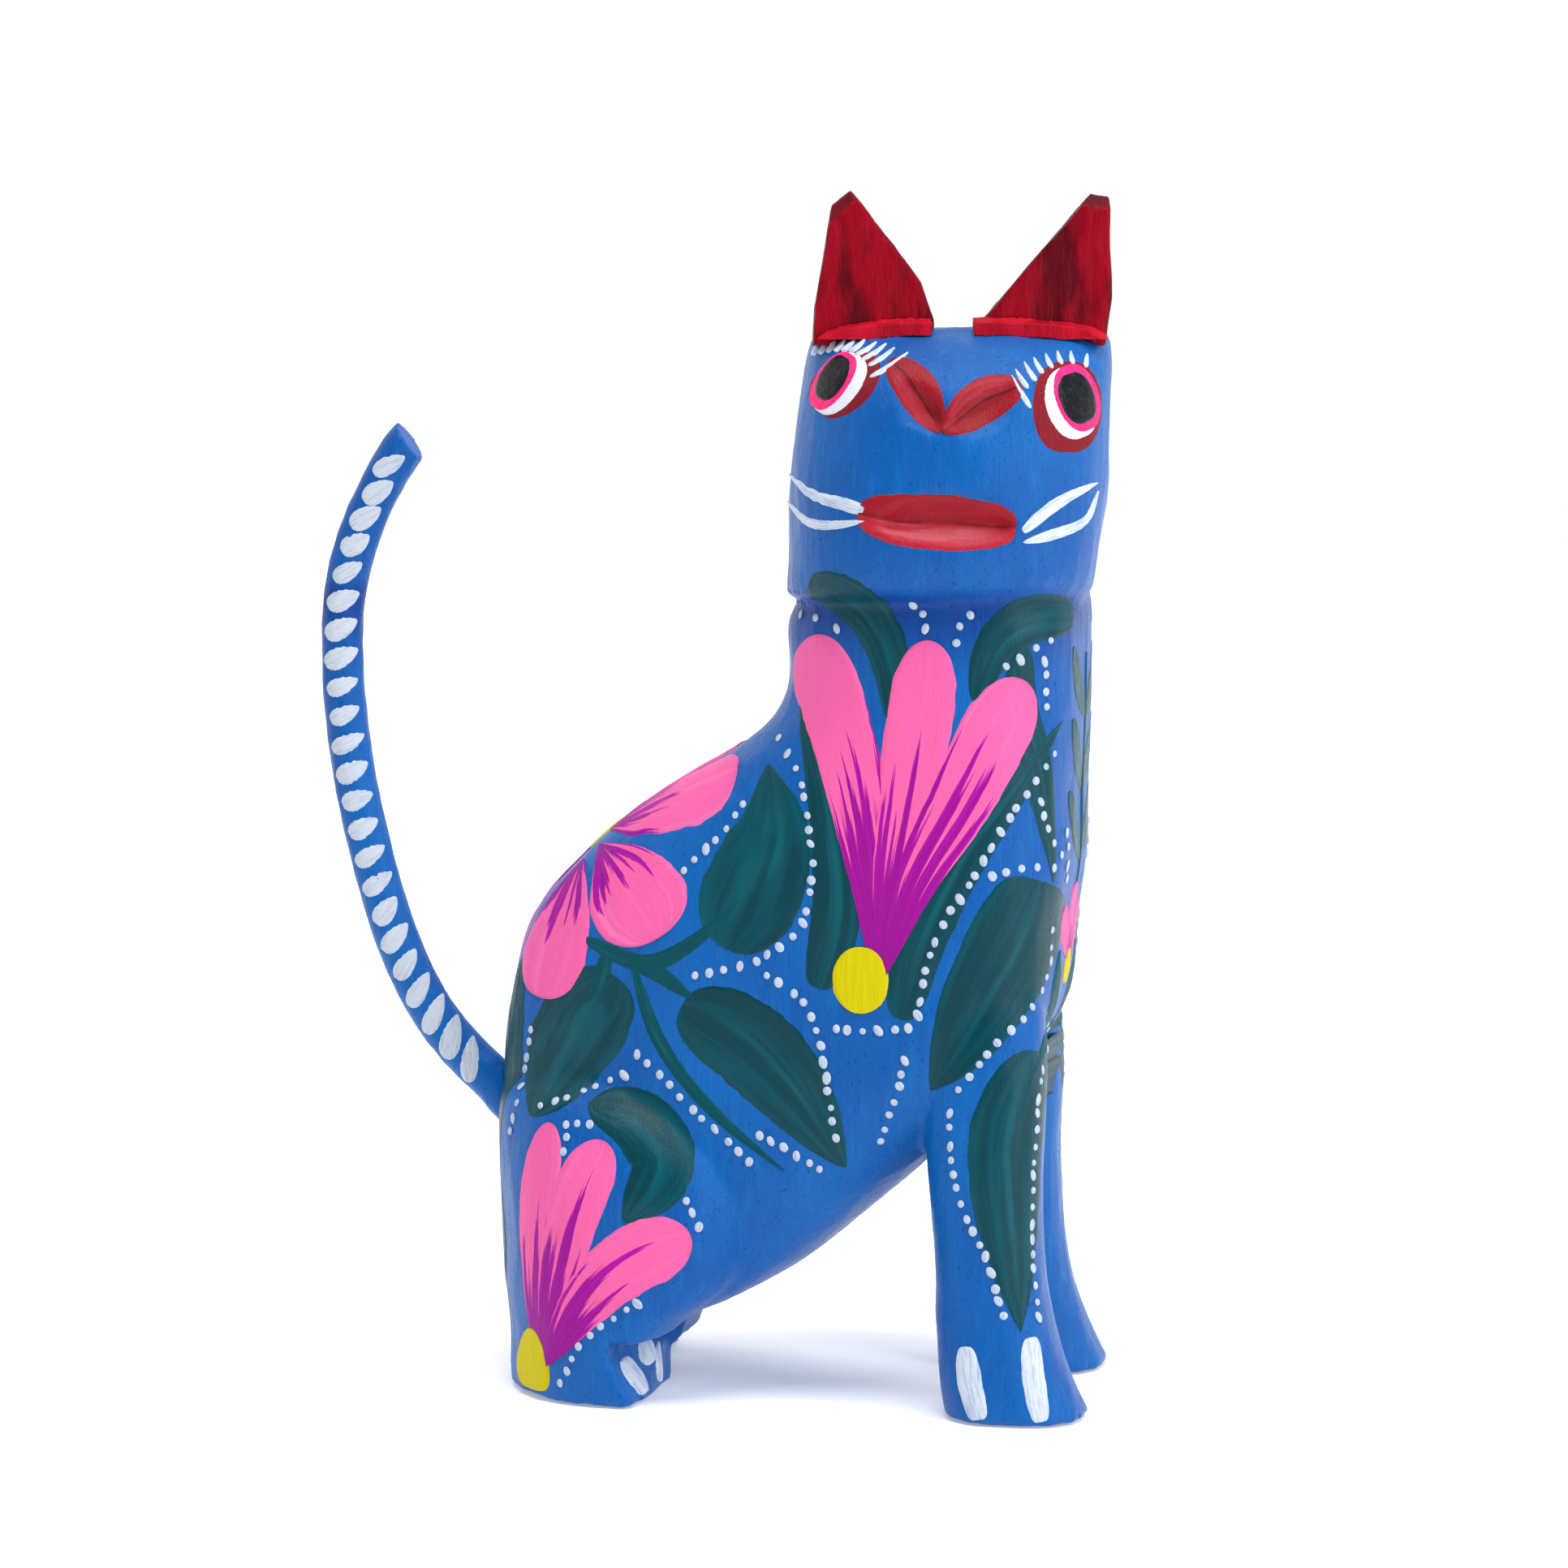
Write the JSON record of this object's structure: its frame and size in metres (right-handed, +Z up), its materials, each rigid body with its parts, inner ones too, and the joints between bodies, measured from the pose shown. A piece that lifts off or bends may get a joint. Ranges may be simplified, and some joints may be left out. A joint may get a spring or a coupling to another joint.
{
  "type": "alebrije figure",
  "caption": "Carved and painted wooden folk-art cat, seated, with its head turned to one side, tall ears and a plug-in curved tail.",
  "frame": {"origin": "bottom centre of the bounding box, on the surface the figure stands on", "axes": "+Z up, -Y the way the cat's chest faces, +X the cat's left side; the face looks towards -X"},
  "size_m": [0.0486, 0.104, 0.1515],
  "materials": {
    "blue_painted_wood": "satin acrylic paint over whittled wood",
    "blue_painted_tail": "satin acrylic paint over whittled wood",
    "red_painted_wood": "satin acrylic paint over whittled wood",
    "red_wood_paste": "painted paste of glue and sawdust"
  },
  "bodies": {
    "figure": {"carved_body": "blue_painted_wood", "right_ear": "red_painted_wood", "left_ear": "red_painted_wood", "right_ear_bead": "red_wood_paste", "left_ear_bead": "red_wood_paste"},
    "tail": {"tail": "blue_painted_tail"}
  },
  "joints": [
    {"name": "tail_pull", "type": "slide", "parent": "figure", "child": "tail", "axis": [0, 0.6947, 0.7193], "range_m": [0, 0.011]}
  ]
}
